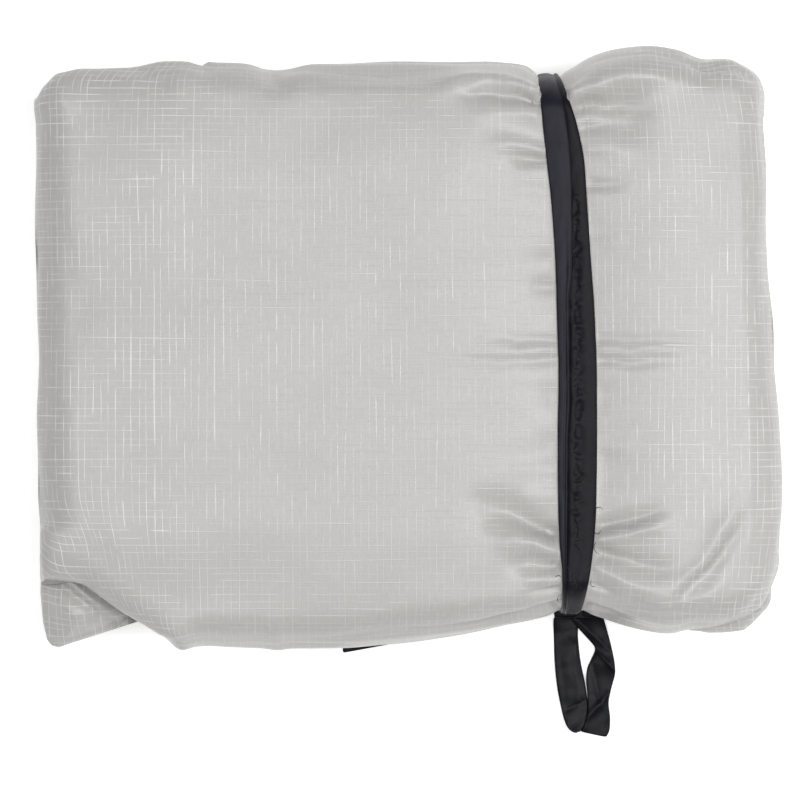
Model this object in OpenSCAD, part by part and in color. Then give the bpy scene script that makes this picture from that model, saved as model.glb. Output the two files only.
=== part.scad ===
// Inflatable sleeping pad, deflated, folded in half lengthwise, rolled flat and tied with a tape.
// The pad lies on its back. The origin is on its flat underside, +Z up, +X along its length.
// Every skin and layer follows one flat spiral, seen end-on in the YZ plane.

/* [Packed pad] */
// Half the length of the packed pad
pad_half_l = 152; // [140:1:165]
// Height of the packed pad
pad_h = 67; // [60:1:75]
// Reach of the pad towards +Y
pad_back = 118; // [112:1:124]
// Reach of the pad towards -Y
pad_front = 123; // [118:1:128]
// Depth of a rolled side as a share of its height
side_ratio = 0.6; // [0.5:0.05:0.8]
// Distance from the front side to the hem of the last turn
hem_inset = 25; // [24:1:35]

/* [Pad layers] */
// Thickness of one skin
skin_t = 0.4; // [0.3:0.05:0.6]
// Gap between two turns of the roll
turn_gap = 0.2; // [0.1:0.05:0.4]
// Gap between the two inner skins
inner_gap = 0.2; // [0.1:0.05:0.4]
// Width of the welded margin along the long edges
margin_w = 7; // [5:1:9]
// Number of air chambers in one half of the pad
chambers = 4; // [3:1:5]
// Thickness of a baffle
baffle_t = 0.3; // [0.2:0.1:0.5]

/* [Waist] */
// Where the full section ends and the pinched section begins
waist_x = 42; // [36:1:44]
// How much the tape pinches the back
waist_back = 7.6; // [6:0.2:9]
// How much the tape pinches the front
waist_front = 15.6; // [14:0.2:17]
// How much the tape lifts the underside
waist_under = 2.5; // [2.4:0.1:3]
// How much the tape presses the top down
waist_top = 2; // [1.6:0.1:3]

/* [Tape] */
// Middle of the band along the pad
band_x = 62.7; // [60:0.1:66]
// Slant of the band across the pad, in degrees
band_slant = 2.3; // [0:0.1:2.6]
// Visible width of one strand
strand_w = 8.2; // [7:0.1:9]
// Thickness of the doubled tape in a strand
strand_t = 1.2; // [1:0.1:1.2]
// Clearance between the band and the pad
band_gap = 0.3; // [0.25:0.05:0.35]
// Thickness of the single tape of neck and tail
tape_t = 0.9; // [0.6:0.1:0.9]
// Thickness of the flat leg of the loop
loop_t = 1.4; // [1.2:0.1:1.8]
// Thickness of the twisted leg of the loop
twist_t = 2.6; // [2:0.1:3]

/* [Valve] */
// Middle of the valve along the pad
valve_x = -118; // [-120:1:-116]
// Height of the valve above the ground
valve_z = 31; // [30:1:33]
// Radius of the bore that takes the pump's nozzle
port_r = 10; // [9:0.5:10]
// Radius of the flap chamber
chamber_r = 9; // [8:0.5:9]
// Outer radius of the collar
collar_r = 14; // [13.5:0.5:14]
// Outer radius of the welded flange
flange_r = 17; // [16:0.5:18]
// How far the flap lifts
flap_travel = 1.1; // [0.8:0.1:1.1]

/* [Hidden] */

$fn = 64;
skin_colour = [0.79, 0.78, 0.76];
face_colour = [0.55, 0.56, 0.57];
batt_colour = [0.92, 0.92, 0.90];
tape_colour = [0.20, 0.20, 0.24];
thread_colour = [0.10, 0.10, 0.12];
valve_colour = [0.25, 0.26, 0.28];
seal_colour = [0.62, 0.63, 0.64];

runs = 8;             // flat runs in the roll
turn_steps = 5;       // straight pieces in each rolled side
waist_slope = 6;      // length over which the section narrows
waist_end = waist_x + waist_slope;
valve_recess = 16.2;  // the back is drawn in this far behind the valve
recess_x = -92;
recess_slope = 12;
layer_gap = 0.05;     // between a skin and the batt next to it
margin_slope = 7;     // length over which the skins come together at a margin
inner_start = -86;    // where the roll begins, along Y

// The pad's outline at any place along its length
function top_z(x) = lookup(x, [[waist_x, pad_h], [waist_end, pad_h - waist_top]]);
function base_z(x) = lookup(x, [[waist_x, 0], [waist_end, waist_under]]);
function front_y(x) = lookup(x, [[waist_x, -pad_front], [waist_end, -pad_front + waist_front]]);
function back_y(x) = lookup(x, [[recess_x, pad_back - valve_recess],
                                [recess_x + recess_slope, pad_back],
                                [waist_x, pad_back],
                                [waist_end, pad_back - waist_back]]);

// The roll: its pitch, the thickness of one folded ply, and the height of each run
function pitch(x) = (top_z(x) - base_z(x) + turn_gap) / runs;
function ply_t(x) = pitch(x) - turn_gap;
full_ply = ply_t(-pad_half_l);
function level(k) = k % 2 == 0 ? k / 2 : -(k + 1) / 2;
function run_z(x, k) = base_z(x) + ply_t(x) / 2 + (level(k) + runs / 2) * pitch(x);
function outer_r(x, k) = (k + 1) * pitch(x) / 2 + ply_t(x) / 2;
function turn_y(x, k) = k % 2 == 0
    ? back_y(x) - side_ratio * outer_r(x, runs - 2)
    : front_y(x) + side_ratio * outer_r(x, runs - 3);
function turn_z(x, k) = (run_z(x, k) + run_z(x, k + 1)) / 2;

// Stations along the roll: [turn, step], from the inner end to the hem
stations = concat([[-1, 0]], [for (k = [0:runs - 2]) for (a = [0:turn_steps]) [k, a]], [[runs - 1, 0]]);

// A point of a layer: x along the pad, n outwards from the middle of the folded ply
function turn_point(k, a, x, r) = let (s = k % 2 == 0 ? 1 : -1, t = 180 * a / turn_steps)
    [x, turn_y(x, k) + s * side_ratio * r * sin(t), turn_z(x, k) + s * r * cos(t)];
function place(st, x, n) = let (m = n * ply_t(x) / full_ply)
    st[0] < 0 ? [x, inner_start, run_z(x, 0) + m]
    : st[0] == runs - 1 ? [x, front_y(x) + hem_inset, run_z(x, runs - 1) - m]
    : turn_point(st[0], st[1], x, (st[0] + 1) * pitch(x) / 2 + m);

// A layer swept along the roll. above and below are equally long lists of [x, n].
module rolled(above, below) {
    m = len(above);
    w = 2 * m;
    last = (len(stations) - 1) * w;
    profile = concat(above, [for (i = [m - 1:-1:0]) below[i]]);
    points = [for (st = stations) for (p = profile) place(st, p[0], p[1])];
    sides = [for (i = [0:len(stations) - 2]) for (j = [0:w - 1]) for (h = [0, 1])
             let (a = i * w + j, b = i * w + (j + 1) % w)
             h == 0 ? [a, a + w, b + w] : [a, b + w, b]];
    caps = [for (j = [0:m - 2]) for (h = [0, 1]) let (c = w - 1 - j)
            h == 0 ? [j, j + 1, c - 1] : [j, c - 1, c]];
    ends = [for (f = caps) [f[2] + last, f[1] + last, f[0] + last]];
    polyhedron(points, concat(sides, caps, ends));
}

// The places along X where the pad's outline bends, between a and b
bends = [recess_x, recess_x + recess_slope, waist_x, waist_end];
function between(a, b) = concat([a], [for (x = bends) if (x > a + 1 && x < b - 1) x], [b]);
function edge(a, b, n) = [for (x = between(a, b)) [x, n]];
function flip(list) = [for (i = [len(list) - 1:-1:0]) [list[i][0], -list[i][1]]];

// Distances outwards from the middle of the folded ply
face_in = inner_gap / 2;
face_out = face_in + skin_t;
batt_in = face_out + layer_gap;
back_out = full_ply / 2;
back_in = back_out - skin_t;
batt_out = back_in - layer_gap;
fold_x = pad_half_l;
face_fold_x = fold_x - (back_out - face_out);
open_x = -pad_half_l;
chamber_x0 = open_x + margin_w + margin_slope;
chamber_x1 = fold_x - skin_t - 1;
chamber_w = (chamber_x1 - chamber_x0) / chambers;

module back_skin() {
    color(skin_colour)
    difference() {
        union() {
            lip_out = [[open_x, batt_in + skin_t], [open_x + margin_w, batt_in + skin_t]];
            lip_in = [[open_x, batt_in], [open_x + margin_w, batt_in]];
            out = concat(lip_out, edge(chamber_x0, fold_x, back_out));
            in = concat(lip_in, edge(chamber_x0, fold_x - skin_t, back_in));
            rolled(concat(out, flip(out)), concat(in, flip(in)));
        }
        port_hole();
    }
}

module face_skin() {
    out = edge(open_x, face_fold_x, face_out);
    in = edge(open_x, face_fold_x - skin_t, face_in);
    color(face_colour)
    rolled(concat(out, flip(out)), concat(in, flip(in)));
}

// One length of batt fills each chamber, on both sides of the fold
module insulation_batt() {
    color(batt_colour)
    difference() {
        union() {
            for (i = [0:chambers - 1]) {
                x0 = chamber_x0 + i * chamber_w + (i == 0 ? 0 : baffle_t);
                x1 = min(chamber_x0 + (i + 1) * chamber_w - baffle_t, face_fold_x);
                rolled(edge(x0, x1, batt_out), edge(x0, x1, batt_in));
                rolled(edge(x0, x1, -batt_in), edge(x0, x1, -batt_out));
            }
        }
        port_hole();
    }
}

// A baffle ties the two skins together between each pair of chambers
module baffle_strips() {
    color(face_colour) {
        for (i = [1:chambers - 1]) {
            x0 = chamber_x0 + i * chamber_w - baffle_t / 2;
            rolled(edge(x0, x0 + baffle_t, back_in), edge(x0, x0 + baffle_t, face_out));
            rolled(edge(x0, x0 + baffle_t, -face_out), edge(x0, x0 + baffle_t, -back_in));
        }
        rolled(edge(face_fold_x, fold_x - skin_t, baffle_t / 2),
               edge(face_fold_x, fold_x - skin_t, -baffle_t / 2));
    }
}

// --- Tape ---

// The band's outline round the pinched pad, seen along X, grown outwards by g
arc_steps = 16;
front_belly = 19.4;   // reach of the band's lower front curve
slant_room = 0.5;     // extra room at the band's sides, because it crosses the pad at a slant
function arc(cy, cz, ry, rz, a0, a1) = [for (i = [0:arc_steps]) let (t = a0 + (a1 - a0) * i / arc_steps)
    [cy + ry * sin(t), cz + rz * cos(t)]];
function band_outline(g) = let (x = pad_half_l, mid = (top_z(x) + base_z(x)) / 2,
        half = (top_z(x) - base_z(x)) / 2, crest = run_z(x, 0), rise = top_z(x) - crest)
    concat(arc(back_y(x) - side_ratio * half, mid, side_ratio * half + g + slant_room, half + g, 0, 180),
           arc(front_y(x) + front_belly, crest, front_belly + g + slant_room, crest - base_z(x) + g, 180, 270),
           arc(front_y(x) + side_ratio * rise, crest, side_ratio * rise + g + slant_room, rise + g, 270, 360));

module along_x(x0, x1) {
    translate([x0, 0, 0])
    rotate([90, 0, 90])
    linear_extrude(x1 - x0)
    children();
}

module strand(x0, x1) {
    translate([band_x, 0, 0])
    rotate([0, 0, band_slant])
    along_x(x0, x1)
    difference() {
        polygon(band_outline(band_gap + strand_t));
        polygon(band_outline(band_gap));
    }
}

strand_gap = 0.15;

module band_left_strand() {
    color(tape_colour)
    strand(-strand_w - strand_gap / 2, -strand_gap / 2);
}

module band_right_strand() {
    color(tape_colour)
    strand(strand_gap / 2, strand_w + strand_gap / 2);
}

stitch_l = 2.6;
stitch_w = 0.5;
stitch_h = 0.3;
stitch_pitch = 3.6;
stitch_count = 44;
stitch_inset = 1.6;   // from the strand's inner edge

module band_stitching() {
    band_top = top_z(pad_half_l) + band_gap + strand_t;
    color(thread_colour)
    translate([band_x, 0, band_top])
    rotate([0, 0, band_slant])
    for (i = [0:stitch_count - 1])
        translate([stitch_inset, (i - stitch_count / 2) * stitch_pitch, 0])
        cube([stitch_w, stitch_l, stitch_h]);
}

// The loop swings about a line at its root
root_y = -111.5;
root_gap = 0.8;
neck_start = -66;
leg_left = [61, 71.6];
leg_right = [72.8, 82];

module loop_neck() {
    color(tape_colour)
    for (leg = [leg_left, leg_right])
        translate([leg[0], root_y + root_gap, 0])
        cube([leg[1] - leg[0], neck_start - root_y - root_gap, tape_t]);
}

tack_y = -99;
tack_rows = 9;
tack_pitch = 0.9;

module bar_tack() {
    color(thread_colour)
    for (i = [0:tack_rows - 1])
        translate([leg_left[0] + 1.4, tack_y - i * tack_pitch, tape_t])
        cube([leg_right[1] - leg_left[0] - 2.8, stitch_w, stitch_w]);
}

module tape_tail() {
    tail_end = -27;
    tail_w = 10;
    color(tape_colour)
    linear_extrude(tape_t)
    polygon([[leg_left[0] - 0.1, -99.5], [leg_left[0] - 0.1, -99.5 - tail_w],
             [tail_end, -125.6], [tail_end + 1.5, -115.6]]);
}

module tape_loop() {
    outer = [[leg_left[0], root_y], [61.5, -130], [62.3, -144], [64.5, -155], [69, -158.6],
             [82, -158], [84.4, -150], [86.3, -138], [85.8, -128], [84, -118], [leg_right[1], root_y]];
    hole = [[71.3, -115.5], [75.4, -117.5], [78.4, -122], [78.2, -129], [75, -135.5], [71.8, -131]];
    twist = [[78.4, -122], [85.2, -122], [86.3, -138], [84.4, -150], [82, -158],
             [77, -158.2], [78, -146], [78.6, -136]];
    color(tape_colour) {
        linear_extrude(loop_t)
        difference() {
            polygon(outer);
            polygon(hole);
        }
        linear_extrude(twist_t)
        difference() {
            polygon(twist);
            polygon(hole);
        }
    }
}

// --- Valve, on the back side near the open end; its axis points along +Y ---

seat_y = pad_back - valve_recess;   // the skin behind the valve
collar_base = -1.6;                 // all valve heights are from the skin, outwards
collar_top = 9;
port_floor = 4.4;
spider_z = [1.4, 2.4];
hub_r = 3;
hub_hole_r = 1.5;
web_w = 1.2;
web_count = 4;
flange_z = [0.1, 1.3];
ring_z = [1.4, 3.8];
ring_r = 15.5;
lid_z = [9.8, 11.8];
lid_r = 15.8;
skirt_base = 7.8;
skirt_r = 14.5;
hinge_x = -18.3;                    // from the valve's axis
hinge_h = 6.4;
knuckle_r = 2.2;
pin_r = 1;
knuckle_half = 4;
pin_half = 8.4;
hinge_play = 0.2;
arm_w = 4.4;
snug = 0.05;                        // clearance between parts that fit closely
loose = 0.2;                        // clearance between parts that move or drop in
pin_fit = 0.06;                     // clearance of the cap's barrel round the pin
pin_ease = 0.01;                    // the pin is this much smaller than the holes that grip it
cut = 1;                            // how far a cutter runs past what it cuts
hole_base = -2.1;
hole_h = 6;
web_bite = 0.5;                     // overlap of a web with the hub
flap_t = 0.6;
flap_rim = 0.4;                     // from the flap's edge to the chamber's wall
head_lip = 0.6;                     // how far the stem's head reaches past its hole
root_bite = 1.5;                    // overlap of a hinge arm with the tether ring
tab_w = 10;
tab_l = 6;
tab_root = 2;
bridge_l = 6;                       // length of the strip from the lid to its barrel

// Draws in the valve's own frame: X along the pad, Z outwards from the skin, Y down
module on_valve() {
    translate([valve_x, seat_y, valve_z])
    rotate([-90, 0, 0])
    children();
}

module ring(r0, r1, span) {
    translate([0, 0, span[0]])
    difference() {
        cylinder(r = r1, h = span[1] - span[0]);
        translate([0, 0, -1])
        cylinder(r = r0, h = span[1] - span[0] + 2);
    }
}

// The hole through the outer skin and batt that the collar stands in
module port_hole() {
    on_valve()
    translate([0, 0, hole_base])
    cylinder(r = collar_r + loose, h = hole_h);
}

module valve_flange() {
    color(seal_colour)
    on_valve()
    ring(collar_r, flange_r, flange_z);
}

module valve_collar() {
    color(valve_colour)
    on_valve() {
        ring(chamber_r, collar_r, [collar_base, port_floor]);
        ring(port_r, collar_r, [port_floor, collar_top]);
        ring(hub_hole_r, hub_r, spider_z);
        difference() {
            for (i = [0:web_count - 1])
                rotate([0, 0, i * 360 / web_count])
                translate([hub_r - web_bite, -web_w / 2, spider_z[0]])
                cube([chamber_r - hub_r + 2 * web_bite, web_w, spider_z[1] - spider_z[0]]);
            translate([0, 0, spider_z[0] - cut])
            cylinder(r = hub_hole_r, h = spider_z[1] - spider_z[0] + 2 * cut);
        }
    }
}

module valve_flap() {
    flap_z = spider_z[0] - snug - flap_t;
    head_z = spider_z[1] + flap_travel + 2 * snug;
    color(seal_colour)
    on_valve() {
        translate([0, 0, flap_z])
        cylinder(r = chamber_r - flap_rim, h = flap_t);
        translate([0, 0, flap_z])
        cylinder(r = hub_hole_r - loose, h = head_z - flap_z + loose);
        translate([0, 0, head_z])
        cylinder(r = hub_hole_r + head_lip, h = head_lip);
    }
}

// One part of the hinge's barrel, from y0 to y1, with a hole of radius hole
module knuckle(y0, y1, hole) {
    translate([hinge_x, y0, hinge_h])
    rotate([-90, 0, 0])
    difference() {
        cylinder(r = knuckle_r, h = y1 - y0);
        translate([0, 0, -1])
        cylinder(r = hole, h = y1 - y0 + 2);
    }
}

module tether_ring() {
    inner = knuckle_half + hinge_play;
    color(valve_colour)
    on_valve() {
        ring(collar_r + snug, ring_r, ring_z);
        for (y0 = [-pin_half, inner]) {
            y1 = y0 + pin_half - inner;
            knuckle(y0, y1, pin_r);
            difference() {
                translate([hinge_x - knuckle_r / 2, y0, ring_z[0]])
                cube([-hinge_x - collar_r + root_bite, y1 - y0, ring_z[1] - ring_z[0]]);
                cylinder(r = collar_r + snug, h = ring_z[1] + cut);
            }
            difference() {
                translate([hinge_x - knuckle_r, y0, ring_z[0]])
                cube([2 * knuckle_r, y1 - y0, hinge_h - ring_z[0]]);
                translate([hinge_x, y0 - 1, hinge_h])
                rotate([-90, 0, 0])
                cylinder(r = pin_r, h = y1 - y0 + 2);
            }
        }
    }
}

module hinge_pin() {
    color("silver")
    on_valve()
    translate([hinge_x, -pin_half, hinge_h])
    rotate([-90, 0, 0])
    cylinder(r = pin_r - pin_ease, h = 2 * pin_half);
}

module valve_cap() {
    color(valve_colour)
    on_valve() {
        ring(skirt_r, lid_r, [skirt_base, lid_z[0]]);
        translate([0, 0, lid_z[0]])
        cylinder(r = lid_r, h = lid_z[1] - lid_z[0]);
        translate([lid_r - tab_root, -tab_w / 2, lid_z[0]])
        cube([tab_l, tab_w, lid_z[1] - lid_z[0]]);
        knuckle(-knuckle_half, knuckle_half, pin_r + pin_fit);
        difference() {
            translate([hinge_x - knuckle_r, -knuckle_half, hinge_h])
            cube([arm_w, 2 * knuckle_half, lid_z[1] - hinge_h]);
            translate([hinge_x, -knuckle_half - cut, hinge_h])
            rotate([-90, 0, 0])
            cylinder(r = pin_r + pin_fit, h = 2 * (knuckle_half + cut));
        }
        translate([hinge_x, -knuckle_half, lid_z[0]])
        cube([bridge_l, 2 * knuckle_half, lid_z[1] - lid_z[0]]);
    }
}

module cap_seal() {
    color(seal_colour)
    on_valve()
    ring(port_r + loose, collar_r - loose, [collar_top + snug, lid_z[0] - snug]);
}

back_skin();
face_skin();
insulation_batt();
baffle_strips();
band_left_strand();
band_right_strand();
band_stitching();
loop_neck();
bar_tack();
tape_tail();
tape_loop();
valve_flange();
valve_collar();
valve_flap();
tether_ring();
hinge_pin();
valve_cap();
cap_seal();
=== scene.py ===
"""Packed inflatable sleeping pad: ripstop wrap, rolled layers, tape band, loop and tail, capped valve."""
import math

import bmesh
import bpy
import numpy as np
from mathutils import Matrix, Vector, noise


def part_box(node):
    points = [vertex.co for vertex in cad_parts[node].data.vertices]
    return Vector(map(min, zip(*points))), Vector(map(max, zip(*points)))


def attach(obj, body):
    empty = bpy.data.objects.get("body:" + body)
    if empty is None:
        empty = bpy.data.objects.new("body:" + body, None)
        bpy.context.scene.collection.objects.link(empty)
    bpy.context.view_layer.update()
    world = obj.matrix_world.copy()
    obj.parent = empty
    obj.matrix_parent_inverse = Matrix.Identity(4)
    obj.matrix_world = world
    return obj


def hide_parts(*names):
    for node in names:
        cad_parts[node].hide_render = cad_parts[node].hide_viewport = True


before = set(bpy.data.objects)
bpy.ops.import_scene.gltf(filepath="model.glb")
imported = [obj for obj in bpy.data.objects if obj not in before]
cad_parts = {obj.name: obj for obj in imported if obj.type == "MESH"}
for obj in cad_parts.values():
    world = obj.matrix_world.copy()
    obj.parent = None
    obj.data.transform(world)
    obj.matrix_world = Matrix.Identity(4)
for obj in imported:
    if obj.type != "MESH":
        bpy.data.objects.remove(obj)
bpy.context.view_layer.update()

MM = 0.001
collar_lo, collar_hi = (np.array(c, float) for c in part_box("valve_collar"))
flange_lo = np.array(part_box("valve_flange")[0], float)


# ---- helpers

def smooth(t):
    t = np.clip(t, 0.0, 1.0)
    return t * t * (3 - 2 * t)


def ramp(x, a, b):
    """0 at a, 1 at b, smooth between; a may be the larger."""
    return smooth((np.asarray(x, float) - a) / (b - a))


def curve(points):
    """A smooth function through given points in millimetres, without overshoot."""
    xs, ys = (np.array(c, float) * MM for c in zip(*points))
    step = np.diff(ys) / np.diff(xs)
    slope = np.zeros_like(ys)
    same = step[:-1] * step[1:] > 0
    slope[1:-1][same] = 2 * step[:-1][same] * step[1:][same] / (step[:-1] + step[1:])[same]

    def value(x):
        x = np.clip(np.asarray(x, float), xs[0], xs[-1])
        i = np.clip(np.searchsorted(xs, x) - 1, 0, len(xs) - 2)
        h = xs[i + 1] - xs[i]
        t = (x - xs[i]) / h
        return (ys[i] * (1 + 2 * t) * (1 - t) ** 2 + slope[i] * h * t * (1 - t) ** 2
                + ys[i + 1] * t * t * (3 - 2 * t) + slope[i + 1] * h * t * t * (t - 1))
    return value


def wander(points, scale, seed):
    """Smooth noise from -1 to 1 at each point, with features of about scale metres."""
    shift = Vector((seed * 17.3, seed * 5.1, seed * 9.7))
    return np.array([noise.noise(Vector(p) / scale + shift) for p in points]) * 1.6


def shade_smooth(mesh):
    for polygon in mesh.polygons:
        polygon.use_smooth = True


def mesh_object(name, points, faces, uv=None):
    """A smooth-shaded mesh at the origin, with uv in metres over the fabric."""
    mesh = bpy.data.meshes.new(name)
    mesh.from_pydata([tuple(p) for p in points], [], [tuple(int(i) for i in f) for f in faces])
    if uv is not None:
        layer = mesh.uv_layers.new(name="fabric")
        corners = np.array([loop.vertex_index for loop in mesh.loops])
        layer.data.foreach_set("uv", np.asarray(uv, float)[corners].ravel())
    mesh.update()
    shade_smooth(mesh)
    obj = bpy.data.objects.new(name, mesh)
    bpy.context.scene.collection.objects.link(obj)
    return obj


def get_points(mesh):
    return np.array([v.co for v in mesh.vertices], float)


def put_points(mesh, points):
    mesh.vertices.foreach_set("co", points.ravel())
    mesh.update()


def flatten(rings):
    """How many rings, how many points round each, and all the points as one list."""
    points = np.array(rings)
    return (*points.shape[:2], points.reshape(-1, 3))


def ring_faces(rings, around, join_ends=False):
    """Quads between closed rings of points; join_ends ties the last ring to the first."""
    faces = []
    for i in range(rings if join_ends else rings - 1):
        for j in range(around):
            a, b = i * around + j, i * around + (j + 1) % around
            c, d = ((i + 1) % rings) * around + (j + 1) % around, ((i + 1) % rings) * around + j
            faces.append((a, b, c, d))
    return faces


def tube_faces(rings, around):
    """Quads between closed rings of points, with both ends capped."""
    caps = [tuple(range(around))[::-1], tuple((rings - 1) * around + i for i in range(around))]
    return ring_faces(rings, around) + caps


def subdivide(obj):
    """One level of subdivision, applied."""
    mod = obj.modifiers.new("subdivide", "SUBSURF")
    mod.levels = mod.render_levels = 1
    bpy.context.view_layer.update()
    graph = bpy.context.evaluated_depsgraph_get()
    mesh = bpy.data.meshes.new_from_object(obj.evaluated_get(graph))
    obj.modifiers.clear()
    obj.data = mesh


# ---- materials

class Nodes:
    """A short way to write a node tree."""

    def __init__(self, name):
        self.material = bpy.data.materials.new(name)
        self.material.use_nodes = True
        self.tree = self.material.node_tree
        self.shader = self.tree.nodes["Principled BSDF"]

    def add(self, kind, **settings):
        node = self.tree.nodes.new(kind)
        for key, value in settings.items():
            setattr(node, key, value)
        return node

    def put(self, value, socket):
        if isinstance(value, bpy.types.NodeSocket):
            self.tree.links.new(value, socket)
        else:
            socket.default_value = value

    def feed(self, node, *values):
        """Puts the values into the node's first inputs and gives its first output."""
        for value, socket in zip(values, node.inputs):
            self.put(value, socket)
        return node.outputs[0]

    def math(self, operation, a, b=0.0, clamp=False):
        return self.feed(self.add("ShaderNodeMath", operation=operation, use_clamp=clamp), a, b, 0.0)

    def mul(self, a, b, clamp=False):
        return self.math("MULTIPLY", a, b, clamp=clamp)

    def plus(self, a, b):
        return self.math("ADD", a, b)

    def vector(self, x, y, z=0.0):
        return self.feed(self.add("ShaderNodeCombineXYZ"), x, y, z)

    def put_named(self, node, **values):
        for name, value in values.items():
            self.put(value, node.inputs[name.replace("_", " ")])

    def noise(self, vector, scale, detail=2.0, roughness=0.5):
        node = self.add("ShaderNodeTexNoise")
        self.put_named(node, Vector=vector, Scale=scale, Detail=detail, Roughness=roughness)
        return node.outputs["Fac"]

    def spread(self, value, a, b):
        """0 at a, 1 at b, smooth between."""
        return self.feed(self.add("ShaderNodeMapRange", interpolation_type="SMOOTHSTEP"), value, a, b, 0.0, 1.0)

    def mix(self, factor, a, b):
        node = self.add("ShaderNodeMix", data_type="RGBA")
        self.put(factor, node.inputs["Factor"])
        self.put((*a, 1) if isinstance(a, tuple) else a, node.inputs[6])
        self.put((*b, 1) if isinstance(b, tuple) else b, node.inputs[7])
        return node.outputs[2]

    def uv(self):
        node = self.add("ShaderNodeUVMap", uv_map="fabric")
        split = self.add("ShaderNodeSeparateXYZ")
        self.tree.links.new(node.outputs[0], split.inputs[0])
        return split.outputs[0], split.outputs[1]

    def position(self):
        return self.add("ShaderNodeTexCoord").outputs["Object"]

    def finish(self, colour, roughness, height=None, distance=0.0002, strength=1.0, **sockets):
        self.put((*colour, 1) if isinstance(colour, tuple) else colour, self.shader.inputs["Base Color"])
        self.put(roughness, self.shader.inputs["Roughness"])
        self.put_named(self.shader, **sockets)
        if height is not None:
            bump = self.add("ShaderNodeBump")
            self.put_named(bump, Strength=strength, Distance=distance, Height=height)
            self.put(bump.outputs[0], self.shader.inputs["Normal"])
        return self.material


def shade(colour, share, most=1.0):
    return tuple(min(c * share, most) for c in colour)


def yarn_lines(n, across, along, pitch, length, width, seed):
    """Ripstop yarns across one direction: thin lines a pitch apart that fade in and out along their length."""
    drift = n.noise(n.vector(n.mul(along, 9.0), n.mul(across, 170.0), seed), 1.0, 1.0)
    place = n.plus(n.math("DIVIDE", across, pitch), n.mul(drift, 1.1))
    cell = n.math("FLOOR", place)
    inside = n.math("ABSOLUTE", n.math("SUBTRACT", n.math("FRACT", place), 0.5))
    line = n.spread(inside, width, 0.0)
    fade = n.noise(n.vector(n.math("DIVIDE", along, length), n.mul(cell, 7.31), seed), 1.0, 1.0)
    return n.mul(line, n.spread(fade, 0.36, 0.62))


def ripstop(name, colour, glint_tint, roughness=0.38):
    """Coated ripstop: a fine weave, an irregular grid of heavier yarns painted lighter as a glint (mostly towards both
    ends), and a soft gloss.
    """
    n = Nodes(name)
    u, v = n.uv()
    place = n.position()
    heavy = n.math("MAXIMUM", yarn_lines(n, u, v, 0.0031, 0.010, 0.085, 1.0),
                   yarn_lines(n, v, u, 0.0029, 0.013, 0.095, 5.0))
    light = n.math("MAXIMUM", yarn_lines(n, u, v, 0.00098, 0.0055, 0.22, 9.0),
                   yarn_lines(n, v, u, 0.00112, 0.0050, 0.20, 13.0))
    slub = n.noise(n.vector(n.mul(u, 1500.0), n.mul(v, 1500.0)), 1.0, 3.0, 0.6)
    warp = n.spread(n.noise(n.vector(n.mul(u, 1500.0), n.mul(v, 230.0)), 1.0, 2.0), 0.35, 0.7)
    cloud = n.spread(n.noise(place, 14.0, 3.0), 0.35, 0.65)
    split = n.add("ShaderNodeSeparateXYZ")
    n.put(place, split.inputs[0])
    # painted glint: a little over all the heavier yarns, and most towards both ends and in patches
    ends = n.spread(n.math("ABSOLUTE", n.math("SUBTRACT", split.outputs[0], 0.005)), 0.060, 0.125)
    patchy = n.spread(n.noise(place, 32.0, 2.0), 0.38, 0.62)
    glint = n.plus(0.42, n.mul(n.mul(ends, 0.50), n.plus(0.30, patchy)))
    raised = n.plus(n.mul(heavy, 0.9), n.mul(light, 0.22))
    raised = n.plus(raised, n.mul(slub, 0.34))
    base = n.mix(cloud, shade(colour, 0.965), colour)
    base = n.mix(n.mul(light, 0.26), base, shade(colour, 0.82))
    base = n.mix(n.mul(n.spread(slub, 0.35, 0.65), 0.30), base, shade(colour, 0.84))
    base = n.mix(n.mul(warp, 0.22), base, shade(colour, 1.16, 0.9))
    # painted highlight: the heavier yarns are tinted towards the glint colour by the glint mask
    base = n.mix(n.mul(heavy, n.mul(glint, 0.85, clamp=True)), base, glint_tint)
    gloss = n.math("SUBTRACT", roughness, n.mul(heavy, 0.14))
    return n.finish(base, gloss, raised, distance=0.00012, strength=0.55, Specular_IOR_Level=0.5)


def tape_cloth(name, colour, worn, roughness=0.46):
    """Dark folded tape: a fine twill along its length, dusty creases and a satin gloss."""
    n = Nodes(name)
    u, v = n.uv()
    place = n.position()
    rib = n.math("SINE", n.mul(n.plus(u, n.mul(v, 0.6)), 9500.0))
    weft = n.math("SINE", n.mul(v, 14000.0))
    weave = n.plus(n.mul(rib, 0.3), n.mul(weft, 0.2))
    dust = n.spread(n.noise(place, 160.0, 5.0, 0.65), 0.52, 0.78)
    cloud = n.spread(n.noise(place, 45.0, 3.0), 0.35, 0.7)
    crumple = n.noise(n.vector(n.mul(u, 420.0), n.mul(v, 150.0)), 1.0, 4.0, 0.6)
    base = n.mix(cloud, colour, shade(colour, 0.72))
    base = n.mix(n.mul(dust, 0.35), base, worn)
    height = n.plus(n.mul(weave, 0.16), n.mul(crumple, 1.1))
    rough = n.plus(roughness, n.mul(dust, 0.15))
    return n.finish(base, rough, height, distance=0.00028, strength=0.6, Specular_IOR_Level=0.17)


def moulded(name, colour, roughness, grain=900.0):
    """Moulded plastic or rubber with a fine texture and faint scuffs."""
    n = Nodes(name)
    place = n.position()
    fine = n.noise(place, grain, 3.0, 0.6)
    scuff = n.spread(n.noise(place, 90.0, 4.0, 0.7), 0.55, 0.75)
    base = n.mix(n.mul(scuff, 0.25), colour, tuple(min(1, c * 1.9 + 0.02) for c in colour))
    rough = n.plus(roughness, n.mul(scuff, 0.14))
    return n.finish(base, rough, fine, distance=0.0001, strength=0.3)


# Linear colours
GREY = (0.471, 0.465, 0.449)
# colour of the heavier yarns' painted glint
LINE_GLINT_GREY = (0.78, 0.78, 0.76)
NAVY = (0.0128, 0.0127, 0.0215)
CHARCOAL = (0.0056, 0.0055, 0.0092)
DUST = (0.040, 0.041, 0.049)

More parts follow.
